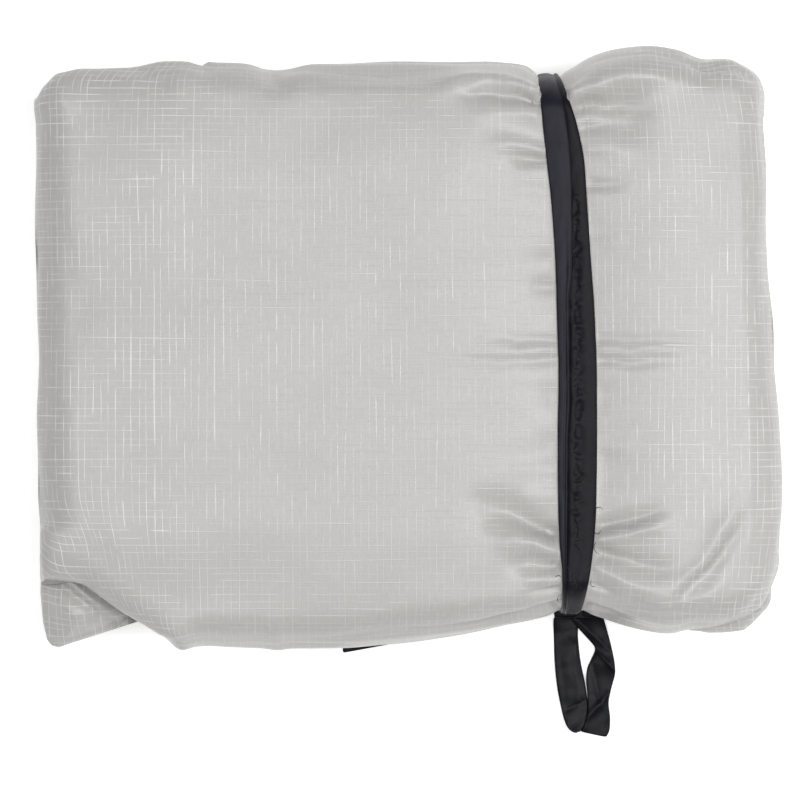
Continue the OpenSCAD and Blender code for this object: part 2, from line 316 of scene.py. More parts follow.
outer_fabric = ripstop("outer_ripstop", GREY, LINE_GLINT_GREY)
# the inner ply's heavier yarns also get a painted glint colour
inner_fabric = ripstop("layer_ripstop", (0.47, 0.467, 0.455), (0.58, 0.58, 0.57), 0.45)
smooth_tape = tape_cloth("smooth_tape", NAVY, DUST)
dark_tape = tape_cloth("dark_tape", CHARCOAL, DUST, 0.50)
loop_tape = tape_cloth("loop_tape", (0.0027, 0.0030, 0.0054), (0.026, 0.027, 0.038), 0.42)
thread = tape_cloth("thread", (0.010, 0.010, 0.012), (0.10, 0.10, 0.11), 0.7)
plastic = moulded("valve_plastic", (0.030, 0.031, 0.036), 0.42)
silicone = moulded("silicone", (0.42, 0.43, 0.44), 0.38, 500.0)
flange_film = moulded("flange_film", (0.36, 0.36, 0.355), 0.35, 700.0)
pin_plastic = moulded("pin_plastic", (0.25, 0.25, 0.26), 0.3)
for material, nodes in ((plastic, ("valve_collar", "tether_ring", "valve_cap")), (flange_film, ("valve_flange",)),
                        (silicone, ("valve_flap", "cap_seal")), (pin_plastic, ("hinge_pin",))):
    for node in nodes:
        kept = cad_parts[node]
        kept.data.materials.clear()
        kept.data.materials.append(material)


# ---- camera, light and floor

VIEW_WIDTH = 0.328          # width of the view at half the pad's height
CAMERA_HEIGHT = 2.4
VIEW_CENTRE = (-0.0029, -0.0209)
HALF_HEIGHT = 0.035
SENSOR = 36
FLOOR = 4                   # half the floor's side, in metres


def set_stage():
    scene = bpy.context.scene
    cam = bpy.data.objects.new("camera", bpy.data.cameras.new("camera"))
    scene.collection.objects.link(cam)
    cam.location = (*VIEW_CENTRE, CAMERA_HEIGHT)
    cam.data.sensor_width = SENSOR
    cam.data.lens = SENSOR * (CAMERA_HEIGHT - HALF_HEIGHT) / VIEW_WIDTH
    cam.data.clip_start = 0.05
    scene.camera = cam

    corners = [(-FLOOR, -FLOOR, 0), (FLOOR, -FLOOR, 0), (FLOOR, FLOOR, 0), (-FLOOR, FLOOR, 0)]
    floor = mesh_object("floor", corners, [(0, 1, 2, 3)])
    n = Nodes("paper_floor")
    mottle = n.spread(n.noise(n.position(), 6.0, 2.0), 0.3, 0.7)
    floor.data.materials.append(n.finish(n.mix(mottle, (0.90, 0.90, 0.90), (0.92, 0.92, 0.92)), 0.9,
                                         Emission_Color=(1.0, 1.0, 1.0, 1.0), Emission_Strength=0.42))

    for name, place, size, power in (
        ("overhead", (0.0, -0.02, 3.4), 1.2, 30),
        ("left_strip", (-1.35, 0.0, 2.6), 0.9, 19),
        ("right_strip", (1.25, 0.1, 2.8), 1.1, 37),
        ("back_box", (0.1, 2.3, 1.5), 1.3, 1.5),
        ("right_box", (2.1, -0.2, 1.1), 1.2, 10),
        ("front_box", (-0.2, -2.3, 1.5), 1.3, 3),
    ):
        lamp = bpy.data.objects.new(name, bpy.data.lights.new(name, "AREA"))
        lamp.data.size = size
        lamp.data.energy = power
        lamp.location = place
        lamp.rotation_euler = (Vector((0, 0, 0.03)) - Vector(place)).to_track_quat("-Z", "Y").to_euler()
        lamp.visible_camera = False
        scene.collection.objects.link(lamp)

    world = bpy.data.worlds.new("studio")
    world.use_nodes = True
    world.node_tree.nodes["Background"].inputs[0].default_value = (1.0, 1.0, 1.0, 1)
    world.node_tree.nodes["Background"].inputs[1].default_value = 0.14
    scene.world = world
    scene.view_settings.view_transform = "Standard"


set_stage()


# ---- the wrap: the pad's outer turn

# The outline seen from above, in millimetres. Each edge runs between two corners.
back_edge = curve([(-152, 114.6), (-146, 114.8), (-142.3, 115.9), (-138, 115.0), (-132, 115.4), (-112, 115.4),
                   (-98, 117.7), (-65, 117.7), (-58, 116), (-51, 115.1),
                   (-39, 117.2), (30, 117.2), (48, 116), (56, 113), (66, 113.8), (75, 118.4), (85, 121.6),
                   (100, 123.6), (112, 122.4), (124, 118.6), (134, 119), (142, 117), (152, 116.5)])
front_edge = curve([(-152, -95.4), (-137, -95.6), (-133.5, -96.3), (-128, -99.8), (-112, -110.2), (-97, -120),
                    (-93.5, -122.6), (-90.5, -123.4), (-87, -121.9), (-60, -122.3), (-56.5, -122.6),
                    (-53.5, -123.6), (-50.5, -122.6), (-30, -122.4),
                    (-5, -120.2), (20, -117), (46, -112.4), (60, -109.2), (67, -108.6), (78, -110.4),
                    (89, -113.4), (99, -115.4), (108, -116.3), (116, -114.6), (124, -114.4), (134, -112.2),
                    (142, -108), (152, -101)])
open_edge = curve([(-120, -148.6), (-96, -149.0), (-80, -150.0), (-60, -150.6), (0, -151.6), (60, -152.2),
                   (100, -152.4), (120, -152)])
fold_edge = curve([(-120, 151), (-96, 151), (-70, 151.9), (-30, 151.4), (0, 150.4), (30, 148.4), (65, 147.4),
                   (120, 147)])
# The band seen from above: its left edge, the crease between its strands, and its right edge
band_left = curve([(-118, 62.8), (-108, 62.9), (-91, 62.7), (-80, 61.7), (-66, 61.1), (-37, 60.9), (-10, 61.2),
                   (8, 60.7), (33, 60.0), (60, 58.2), (75, 56.5), (90, 54.9), (102, 53.8), (112, 53.4), (118, 53.3)])
band_crease = curve([(-118, 63.9), (-108, 64.1), (-91, 64.3), (-66, 64.7), (-37, 65.0), (-21, 65.7), (-5, 65.5),
                     (20, 65.6), (33, 66.6), (60, 66.4), (75, 65.9), (85, 65.0), (95, 63.6), (104, 61.7),
                     (112, 59.8), (118, 59.4)])
band_right = curve([(-118, 70.2), (-108, 70.9), (-100, 72.4), (-91, 74.1), (-78, 75.7), (-66, 76.5), (-37, 76.9),
                    (-10, 76.8), (8, 76.2), (20, 75.6), (33, 74.6), (45, 73.8), (60, 72.8), (75, 71.8), (85, 70.1),
                    (95, 67.5), (102, 65.0), (112, 62.0), (118, 61.6)])


def band_mid(y):
    return (band_left(y) + band_right(y)) / 2


HALF_X = 0.1515
HALF_Y = 0.1190
ROUND_OPEN = 0.019          # how far the open end's rounding reaches in
ROUND_FOLD = 0.015
ROUND_SIDE = 0.0145
WAIST_Z = 33 * MM           # height of the widest line round the pad
TOP_Z = 66.5 * MM
BAND_TOP = 65.0 * MM        # the fabric under the band


def plan_warp(x, y):
    """Moves points of the plain rounded rectangle to the real outline."""
    back = (back_edge(x) - HALF_Y) * ramp(y, 0.045, 0.112)
    front = (front_edge(x) + HALF_Y) * ramp(y, -0.045, -0.112)
    fold = (fold_edge(y) - HALF_X) * ramp(x, 0.095, 0.148)
    open_end = (open_edge(y) + HALF_X) * ramp(x, -0.095, -0.148)
    return x + fold + open_end, y + back + front


def off_band(x, y):
    """Distance beyond the band's edge, 0 under the band."""
    half = (band_right(y) - band_left(y)) / 2
    return np.maximum(np.abs(x - band_mid(y)) - half, 0.0)


def crown(x, y):
    """Height of the top face: low under the band and full between."""
    away = off_band(x, y)
    full = TOP_Z + 4.0 * MM * (1 - (x / 0.22) ** 2) * (1 - (y / 0.20) ** 2)
    full = full - 4.2 * MM * ramp(np.abs(x), 0.094, 0.150) - 2.2 * MM * ramp(np.abs(y), 0.070, 0.118)
    sink = np.exp(-away / (15 * MM)) * 0.80 + np.exp(-(away / (34 * MM)) ** 2) * 0.20
    return full + (BAND_TOP - full) * sink


def underside(x, y):
    """Height of the bottom face: raised a little where the band passes under it."""
    away = off_band(x, y)
    return 2.7 * MM * np.exp(-(away / (7 * MM)) ** 2)


def skin_point(u, v, up):
    """The plain skin. u and v run over the flat top as metres, and past it over the rounding as 0 to 1."""
    flat_open, flat_fold, flat_side = HALF_X - ROUND_OPEN, HALF_X - ROUND_FOLD, HALF_Y - ROUND_SIDE
    core_x = np.clip(u, -flat_open, flat_fold)
    core_y = np.clip(v, -flat_side, flat_side)
    p = np.sin(np.clip(np.abs(u - core_x), 0, 1) * math.pi / 2)
    q = np.sin(np.clip(np.abs(v - core_y), 0, 1) * math.pi / 2)
    out_x = p * np.sqrt(1 - q * q / 2) * np.sign(u - core_x)
    out_y = q * np.sqrt(1 - p * p / 2) * np.sign(v - core_y)
    rise = np.sqrt(np.clip(1 - out_x ** 2 - out_y ** 2, 0, 1))
    # the folded front corner at the open end is sharper than the others
    corner = ramp(u, -0.080, -0.094) * ramp(v, -0.078, -0.094)
    square = corner * ramp(v, -0.090, -0.104)
    out_x = out_x + (p * np.sign(u - core_x) - out_x) * square
    out_y = out_y + (q * np.sign(v - core_y) - out_y) * square
    end = ramp(np.abs(u), 0.118, 0.134)
    over_valve = ramp(u, -0.078, -0.090) * ramp(v, 0.088, 0.103)
    upper = 1 - np.maximum(np.maximum(0.84 * corner, 0.70 * over_valve), 0.45 * end)
    rise = np.where(up > 0, rise ** upper, rise ** (1 - 0.45 * end * (1 - corner)))
    x = core_x + out_x * np.where(u < 0, ROUND_OPEN, ROUND_FOLD)
    y = core_y + out_y * ROUND_SIDE
    x, y = plan_warp(x, y)
    # at the folded corner the lower half goes back under the fold
    y = y + np.where(up < 0, 16 * MM, 0) * corner * rise
    # the band pulls the sides in a little further than the outline beside it
    side = ramp(np.abs(y), 0.085, 0.105)
    y = y - np.sign(y) * side * 1.9 * MM * np.exp(-(off_band(x, y) / (2.5 * MM)) ** 2)
    top, bottom = crown(x, y), underside(x, y)
    z = np.where(up > 0, WAIST_Z + (top - WAIST_Z) * rise, WAIST_Z + (bottom - WAIST_Z) * rise)
    return np.stack([x, y, z], -1)


def lines(half_a, half_b, spacing, steps):
    """Grid lines over one direction: evenly over the flat, then round each side."""
    flat = np.linspace(-half_a, half_b, int(round((half_a + half_b) / spacing)) + 1)
    arc = np.arange(1, steps + 1) / steps
    return np.concatenate([-half_a - arc[::-1], flat, half_b + arc])


def fabric_lengths(points):
    """Distance over the fabric from the middle lines of a grid of points, in both directions."""
    rows, cols = points.shape[:2]
    along = np.zeros((rows, cols))
    across = np.zeros((rows, cols))
    along[1:] = np.cumsum(np.linalg.norm(np.diff(points, axis=0), axis=2), axis=0)
    across[:, 1:] = np.cumsum(np.linalg.norm(np.diff(points, axis=1), axis=2), axis=1)
    along -= along[rows // 2]
    across -= across[:, cols // 2][:, None]
    return np.stack([along + points[rows // 2, :, 0].mean(), across], -1)


GRID = 3.2 * MM             # spacing of the wrap's grid over the flat top
ARC_STEPS = 12              # grid lines round each edge
GROUND_CLEAR = 0.0002       # no point of the wrap is lower


def build_wrap():
    """The plain wrap: an upper and a lower grid that share their edge."""
    us = lines(HALF_X - ROUND_OPEN, HALF_X - ROUND_FOLD, GRID, ARC_STEPS)
    vs = lines(HALF_Y - ROUND_SIDE, HALF_Y - ROUND_SIDE, GRID, ARC_STEPS)
    u, v = np.meshgrid(us, vs, indexing="ij")
    rows, cols = u.shape
    top = skin_point(u, v, 1)
    low = skin_point(u, v, -1)
    number = np.arange(rows * cols).reshape(rows, cols)
    low_number = number.copy()
    inner = np.zeros((rows, cols), bool)
    inner[1:-1, 1:-1] = True
    low_number[inner] = rows * cols + np.arange(inner.sum())
    points = np.concatenate([top.reshape(-1, 3), low[inner]])
    uv_top = fabric_lengths(top).reshape(-1, 2)
    uv_low = fabric_lengths(low)[inner] * (1, -1)
    uv = np.concatenate([uv_top, uv_low])
    faces = []
    for i in range(rows - 1):
        for j in range(cols - 1):
            faces.append((number[i, j], number[i + 1, j], number[i + 1, j + 1], number[i, j + 1]))
            faces.append((low_number[i, j], low_number[i, j + 1], low_number[i + 1, j + 1], low_number[i + 1, j]))
    return mesh_object("outer_wrap", points, faces, uv)


wrap = build_wrap()


# ---- creases in the wrap

# Each crease: its line in millimetres, its height (below 0 for a valley), its half-width at each end
CREASES = [
    # left of the band, from the back
    ([(4, 108.5), (24, 109.6), (40, 107.2), (54, 102.2)], 3.4, 5, 2.0),
    ([(14, 103.5), (34, 104), (46, 102.0), (57, 98.6)], -3.6, 4.5, 1.25),
    ([(20, 96), (40, 96.5), (56, 94)], 1.3, 6, 3.4),
    ([(28, 82.6), (42, 82.4), (57, 79.6)], 1.7, 5, 2.2),
    ([(38, 77.5), (48, 77.4), (58, 76)], -2.0, 3.5, 1.3),
    ([(42, 66), (58, 63)], 0.5, 4, 3),
    ([(48, 24), (61, 25)], -0.5, 3, 2),
    ([(14, -0.6), (34, -1.2), (61, -0.8)], 0.45, 2.0, 1.8),
    ([(4, -4.4), (30, -5.0), (61, -4.0)], -0.6, 1.8, 1.8),
    ([(30, 3.4), (48, 3.4), (61, 2.6)], -0.8, 1.7, 1.3),
    ([(36, -47), (61, -50)], 0.6, 5, 3),
    ([(20, -60), (40, -66), (62, -76)], -3.4, 8, 1.9),
    ([(30, -74), (46, -79), (62, -82.5)], 2.6, 7, 2.4),
    ([(36, -87), (50, -88), (62, -88.5)], -2.2, 5, 1.5),
    ([(40, -93), (52, -93.5), (62, -93)], 1.4, 5, 2),
    ([(44, -98), (54, -98), (62, -97.5)], -1.4, 4, 1.5),
    ([(34, -105), (50, -104), (62, -102)], 1.1, 5, 2),
    # right of the band, from the back
    ([(116, 107), (98, 111), (82, 109.4), (66, 101.5)], 3.2, 7, 2.0),
    ([(104, 93), (88, 98.5), (76, 99.5), (66, 96.5)], -3.0, 6, 1.8),
    ([(104, 84), (90, 90), (78, 91), (69, 89)], -1.4, 7, 2.2),
    ([(96, 78), (84, 81.5), (71, 80)], 1.0, 6, 2.4),
    ([(90, 66), (74, 66.5)], -0.9, 3, 1.6),
    ([(90, 44), (76, 43)], 0.5, 4, 2),
    ([(128, 1.6), (104, 3.6), (78, 3.6)], -0.6, 2.6, 1.6),
    ([(124, -1.6), (102, 0.6), (78, 0.4)], 0.5, 2.2, 1.8),
    ([(118, -5.6), (96, -5.6), (78, -4.8)], -0.8, 2.4, 1.3),
    ([(96, -38), (78, -40)], 0.5, 5, 2.4),
    ([(106, -63), (96, -68), (77, -72)], -2.2, 3.4, 1.8),
    ([(112, -66), (98, -73), (76, -78)], 2.2, 4.6, 1.8),
    ([(114, -88), (100, -88), (86, -85.5), (76, -82.5)], -2.4, 5.5, 1.7),
    ([(112, -99), (96, -97), (84, -92), (74, -87)], 2.0, 6, 2.0),
    ([(104, -106), (88, -102), (74, -95)], -1.2, 5, 1.7),
    ([(92, -112), (103, -103), (118, -88), (130, -70), (138, -54)], 2.6, 4.5, 3.4),
    ([(97, -113), (109, -103), (122, -90), (133, -74), (139, -60)], -2.8, 3.4, 2.8),
    ([(108, -113), (122, -100), (134, -84)], 1.0, 5, 4),
    ([(112, -117), (124, -113), (134, -109.6), (146, -101), (153, -98)], -2.0, 2.2, 2.6),
    # the folded corner at the open end, and slack along the edges
    ([(-60, 118), (-55, 111), (-46, 104)], -2.2, 4, 4),
    ([(-112, 116), (-104, 109), (-90, 106)], -1.6, 4, 5),
    ([(-148, 112), (-140, 104), (-136, 90)], 1.3, 4, 6),
    ([(-142, 70), (-134, 20), (-135, -30)], -1.0, 8, 11),
    ([(-128, -30), (-122, -70), (-110, -100)], 0.8, 9, 9),
    ([(-60, -116), (0, -112), (40, -104)], -0.6, 6, 6),
]


def line_field(x, y, line, start_half, end_half):
    """How close each point is to a bent line: 1 on it, 0 beyond, faded at the far end."""
    line = np.array(line, float) * MM
    piece = np.linalg.norm(np.diff(line, axis=0), axis=1)
    total, done = piece.sum(), 0.0
    best = np.full(x.shape, 1e9)
    where = np.zeros(x.shape)
    for a, b, length in zip(line[:-1], line[1:], piece):
        d = (b - a) / length
        t = np.clip((x - a[0]) * d[0] + (y - a[1]) * d[1], 0, length)
        gap = np.hypot(x - a[0] - t * d[0], y - a[1] - t * d[1])
        nearer = gap < best
        best = np.where(nearer, gap, best)
        where = np.where(nearer, (done + t) / total, where)
        done += length
    half = (start_half + (end_half - start_half) * where) * MM
    edge = np.sqrt(best ** 2 + (0.5 * MM) ** 2) / half
    return np.exp(-edge ** 1.45) * smooth(where / 0.5), where


BAND_REACH = 14 * MM        # a crease with an end this near to the band's middle line belongs to the band


def crease_height(x, y):
    """Height of all the creases over the plain wrap."""
    height = np.zeros(x.shape)
    spots = np.stack([x, y, np.zeros(x.shape)], -1)
    loose = ramp(off_band(x, y), 0.0, 12 * MM)
    x, y = (x + wander(spots, 0.016, 5) * 1.4 * MM * loose,
            y + (wander(spots, 0.014, 6) * 1.3 + wander(spots, 0.006, 7) * 0.5) * MM * loose)
    for line, rise, start_half, end_half in CREASES:
        near, where = line_field(x, y, line, start_half, end_half)
        # a crease that ends at the band stays deep there, and any other fades at both ends
        starts_there, ends_there = (abs(line[k][0] * MM - band_mid(line[k][1] * MM)) < BAND_REACH for k in (0, -1))
        fade = 1.0
        if not ends_there:
            fade = fade * smooth((1 - where) / 0.45)
        if starts_there:
            near = near / np.maximum(smooth(where / 0.5), 1e-6)
        height += rise * MM * near * fade
    pinch = np.exp(-off_band(x, y) / (9 * MM))
    return height * (1 + np.where(height < 0, 1.7, 0.45) * pinch)


def crease_wrap(obj):
    """Moves the wrap's points outwards by the creases, slack, gathers and folds."""
    mesh = obj.data
    points = get_points(mesh)
    normals = np.array([v.normal for v in mesh.vertices], float)
    x, y, z = points.T
    facing = ramp(normals[:, 2], 0.05, 0.7)
    free = ramp(off_band(x, y), -0.4 * MM, 2.0 * MM)
    height = crease_height(x, y) * facing
    slack = wander(points, 0.060, 1) * 0.9 * MM + wander(points, 0.024, 2) * 0.35 * MM
    height += slack * ramp(z, 4 * MM, 30 * MM)
    # gathers beside the band, dying away from it
    gather = wander(points * (0.35, 1, 1), 0.011, 3) * 1.0 * MM * np.exp(-off_band(x, y) / (11 * MM))
    height += gather * ramp(z, 6 * MM, 20 * MM)
    # long folds lie along the rolled sides, and short ones across the ends
    sides = ramp(np.abs(normals[:, 1]), 0.35, 0.9) * ramp(z, 2 * MM, 10 * MM)
    ends = ramp(np.abs(normals[:, 0]), 0.45, 0.9) * ramp(z, 2 * MM, 10 * MM)
    folds = wander(points * (0.22, 1, 1.6), 0.015, 8)
    height += (folds - 0.6 * np.abs(folds)) * 2.0 * MM * sides
    height += wander(points * (1, 0.5, 1.5), 0.015, 9) * 1.0 * MM * ends
    points += normals * (height * free)[:, None]
    points[:, 2] = np.maximum(points[:, 2], GROUND_CLEAR)
    put_points(mesh, points)


subdivide(wrap)
crease_wrap(wrap)


HOLE_RADIUS = 12.6 * MM     # hole in the skin behind the valve's collar
RECESS_GAP = 0.4 * MM       # between the flange and the skin it is welded to
WINDOW_LOW, WINDOW_HIGH = 16 * MM, 47 * MM  # heights between which both ends are open
WINDOW_FRONT, WINDOW_BACK = -0.084, 0.094
OPEN_CUT, FOLD_CUT = 0.1445, 0.0065         # how far in the ends are cut
LIPS = (1.2 * MM, 3.5 * MM)                 # the rim is turned in by these in turn


def make_room_for_valve(obj):
    """Draws the back in behind the valve, under an overhang of the top layers."""
    mesh = obj.data
    points = get_points(mesh)
    x, y, z = points.T
    seat = flange_lo[1] - RECESS_GAP
    share = ramp(x, -0.081, -0.093) * ramp(z, 6 * MM, 11 * MM) * ramp(z, 56 * MM, 51 * MM) * (y > 0.085)
    points[:, 1] = y + (np.minimum(y, seat) - y) * share
    put_points(mesh, points)
    # the skin has a hole behind the valve's collar
    centre = (collar_lo + collar_hi) / 2
    work = bmesh.new()
    work.from_mesh(mesh)
    hole = []
    for face in work.faces:
        c = face.calc_center_median()
        if abs(c.y - seat) < 3 * MM and math.hypot(c.x - centre[0], c.z - centre[2]) < HOLE_RADIUS:
            hole.append(face)
    bmesh.ops.delete(work, geom=hole, context="FACES")
    work.to_mesh(mesh)
    work.free()
    mesh.update()


def open_ends(obj):
    """Opens both ends of the wrap, where the roll shows its layers, and turns the edges in."""
    work = bmesh.new()
    work.from_mesh(obj.data)
    layer = work.loops.layers.uv.active
    doomed = []
    for face in work.faces:
        c = face.calc_center_median()
        if not WINDOW_FRONT <= c.y <= WINDOW_BACK:
            continue
        deep = (-c.x - OPEN_CUT) if c.x < 0 else (c.x - fold_edge(c.y) + FOLD_CUT)
        if deep > 0 and WINDOW_LOW < c.z < WINDOW_HIGH:
            doomed.append(face)
    bmesh.ops.delete(work, geom=doomed, context="FACES")
    rim = [e for e in work.edges if e.is_boundary and abs(e.verts[0].co.x) > 0.138]
    # the cut edge follows a soft line
    around = {}
    for e in rim:
        a, b = e.verts
        around.setdefault(a, []).append(b)
        around.setdefault(b, []).append(a)
    for _ in range(14):
        eased = {v: sum((w.co for w in near), Vector()) / len(near) for v, near in around.items()}
        for v, place in eased.items():
            v.co = v.co.lerp(place, 0.5)
    for v in around:
        v.co.z += 1.3 * MM * math.sin(v.co.y * 75 + math.copysign(1, v.co.x)) + 0.6 * MM * math.sin(v.co.y * 190)
    for depth in LIPS:
        made = bmesh.ops.extrude_edge_only(work, edges=rim)["geom"]
        for v in (g for g in made if isinstance(g, bmesh.types.BMVert)):
            v.co.x -= math.copysign(depth, v.co.x)
            v.co.z += (-1 if v.co.z > 32 * MM else 1) * (0.5 * MM if depth < 2 * MM else -0.8 * MM)
        rim = [g for g in made if isinstance(g, bmesh.types.BMEdge) and g.is_boundary]
        for e in rim:
            for face in e.link_faces:
                face.smooth = True
                if layer:
                    for corner in face.loops:
                        corner[layer].uv = (corner.vert.co.x + corner.vert.co.z, corner.vert.co.y)
    work.to_mesh(obj.data)
    work.free()
    obj.data.update()


make_room_for_valve(wrap)
open_ends(wrap)
wrap.data.materials.append(outer_fabric)
shade_smooth(wrap.data)
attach(wrap, "pad")
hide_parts("back_skin")


# ---- the layers inside the roll

RUNS = 8
LAYER_X = np.array([-149.0, -139, -130, -100, -60, -20, 20, 44, 56, 66, 78, 92, 115, 138.0]) * MM
TURN_STEPS = 8
RUN_STEPS = 12
DEPTH = 0.6                 # depth of a rolled side as a share of its height
LAYER_SEED = 21
TOP_ROOM, END_TOP_ROOM = 2.0, 3.0           # room between wrap and layers in millimetres, and more at the open end
LOW_ROOM, END_LOW_ROOM = 1.6, 4.6
SIDE_ROOM, CORNER_ROOM, VALVE_ROOM = 7.5 * MM, 11.0 * MM, 5 * MM
INNER_START = -0.086        # where the roll starts
HEM_REACH = 0.024           # how far the hem stays behind the front
PLY_HALF = 0.47             # half of a ply's thickness, in plies
SPINE_X, SPINE_DEPTH = 0.1358, 0.0045
MARGIN_X = -145.5 * MM


def roll_stations():
    """(kind, turn or run, 0 to 1) along the roll from its inner end to the hem."""
    stations = [("run", 0, t) for t in np.linspace(0.25, 1, RUN_STEPS)]
    for k in range(RUNS - 1):
        stations += [("turn", k, t) for t in np.linspace(0, 1, TURN_STEPS)]
        stations += [("run", k + 1, t) for t in np.linspace(0, 1, RUN_STEPS)[1:-1]]
    return stations


def level(k):
    """Height of run k above the roll's middle, in pitches: the runs go by turns above and below."""
    return (k / 2 if k % 2 == 0 else -(k + 1) / 2) + 0.5


def layer_point(station, x, n):
    """A point of the roll at length x and distance n outwards from the middle of the folded ply."""
    kind, k, t = station
    low = underside(x, 0.0) + (LOW_ROOM + END_LOW_ROOM * ramp(-x, 0.132, 0.145)) * MM
    high = np.minimum(crown(x, 0.06), 62.5 * MM) - (TOP_ROOM + END_TOP_ROOM * ramp(-x, 0.136, 0.145)) * MM
    pitch = (high - low) / RUNS
    ply = n * pitch
    middle = low + RUNS / 2 * pitch
    reach_back = np.minimum(back_edge(x) - SIDE_ROOM, np.where(x < -0.080, collar_lo[1] - VALVE_ROOM, 1.0))
    reach_front = front_edge(x) + np.where(x < -0.09, CORNER_ROOM, SIDE_ROOM)

    def side(i, angle):
        radius = (i + 1) / 2 * pitch
        centre_z = middle + (level(i) + level(i + 1)) / 2 * pitch
        widest = DEPTH * (RUNS / 2) * pitch
        if i % 2 == 0:
            y = reach_back - widest + DEPTH * (radius + ply) * math.sin(angle)
        else:
            y = reach_front + widest - DEPTH * (radius + ply) * math.sin(angle)
        return y, centre_z + (1 if i % 2 == 0 else -1) * (radius + ply) * math.cos(angle)

    if kind == "turn":
        y, z = side(k, math.pi * t)
    else:
        # each run spans from the end of the turn before it to the start of the next
        sign = 1 if k % 2 == 0 else -1
        y_from = side(k - 1, math.pi)[0] if k else INNER_START + 0 * x
        y_to = side(k, 0.0)[0] if k < RUNS - 1 else reach_front + HEM_REACH
        y = y_from + (y_to - y_from) * t
        z = middle + level(k) * pitch + sign * ply
    return np.stack([x, y, z], -1)


def layer_profile(inset):
    """One folded ply as a closed outline of (x, n), n in plies: a rounded spine and two open margins."""
    half = PLY_HALF - inset
    shift = inset * 8 * MM
    xs = LAYER_X[1:-1]
    spine = [(SPINE_X + SPINE_DEPTH * math.sin(a) - shift, half * math.cos(a)) for a in np.linspace(0, math.pi, 9)]
    upper = [(x + (shift if i == 0 else 0), half) for i, x in enumerate(xs)]
    lower = [(x, -n) for x, n in reversed(upper)]
    tip = MARGIN_X + 6 * shift
    margin_low = [(tip + 0.004, -half * 0.80), (tip, -half * 0.62), (tip, -half * 0.45), (tip + 0.004, -half * 0.30)]
    groove = [(-0.138, -0.02), (-0.130, 0.0), (-0.138, 0.02)]
    margin_up = [(x, -n) for x, n in reversed(margin_low)]
    return upper + spine + lower + margin_low + groove + margin_up


def rolled_layers(name, inset, material):
    """The rolled ply as one mesh; inset, in plies, makes it the batt or the baffles inside it."""
    profile = layer_profile(inset)
    xs = np.array([c[0] for c in profile])
    ns = np.array([c[1] for c in profile])
    rows, uv = [], []
    travelled, last = 0.0, None
    for station in roll_stations():
        ring = layer_point(station, xs, ns)
        if last is not None:
            travelled += np.linalg.norm(ring - last, axis=1).mean()
        last = ring
        rows.append(ring)
        outline = np.concatenate([[0], np.cumsum(np.linalg.norm(np.diff(ring, axis=0), axis=1))])
        uv.append(np.stack([outline, np.full(len(xs), travelled)], -1))
    count, around, flat = flatten(rows)
    edge = ramp(np.abs(flat[:, 0] + 0.002), 0.120, 0.146)
    drift = np.stack([wander(flat * (1, 1, 2.2), 0.020, LAYER_SEED) * 1.9, wander(flat, 0.03, LAYER_SEED + 1) * 0.3,
                      wander(flat * (1, 1, 1.5), 0.022, LAYER_SEED + 2) * 1.25], -1) * MM
    flat = flat + drift * edge[:, None]
    faces = tube_faces(count, around)
    obj = mesh_object(name, flat, faces, np.concatenate(uv))
    obj.data.materials.append(material)
    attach(obj, "pad")
    return obj


batt_cloth = moulded("batt_fibre", (0.72, 0.72, 0.70), 0.9, 2500.0)
baffle_film = moulded("baffle_film", (0.30, 0.30, 0.31), 0.4)
layers = rolled_layers("inner_layers", 0.0, inner_fabric)
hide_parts("face_skin")
batt = rolled_layers("inner_batt", 0.10, batt_cloth)
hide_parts("insulation_batt")
baffles = rolled_layers("inner_baffles", 0.26, baffle_film)
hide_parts("baffle_strips")


# ---- the tape band

def band_path():
    """The fabric under the middle of the band, once round the pad, with its outward directions."""
    vs = lines(HALF_Y - ROUND_SIDE, HALF_Y - ROUND_SIDE, 1.4 * MM, 14)
    lane = band_mid(np.clip(np.where(np.abs(vs) < 0.2, vs, np.sign(vs) * 0.112), -0.112, 0.112))
    top = skin_point(lane, vs, 1)
    low = skin_point(lane, vs, -1)[::-1][1:-1]
    path = np.concatenate([top, low])
    ahead = np.roll(path, -1, axis=0) - np.roll(path, 1, axis=0)
    out = np.stack([np.zeros(len(path)), -ahead[:, 2], ahead[:, 1]], -1)
    out /= np.linalg.norm(out, axis=1)[:, None]
    return path, out


ring_path, ring_out = band_path()
ring_length = np.concatenate([[0], np.cumsum(np.linalg.norm(np.diff(ring_path, axis=0), axis=1))])


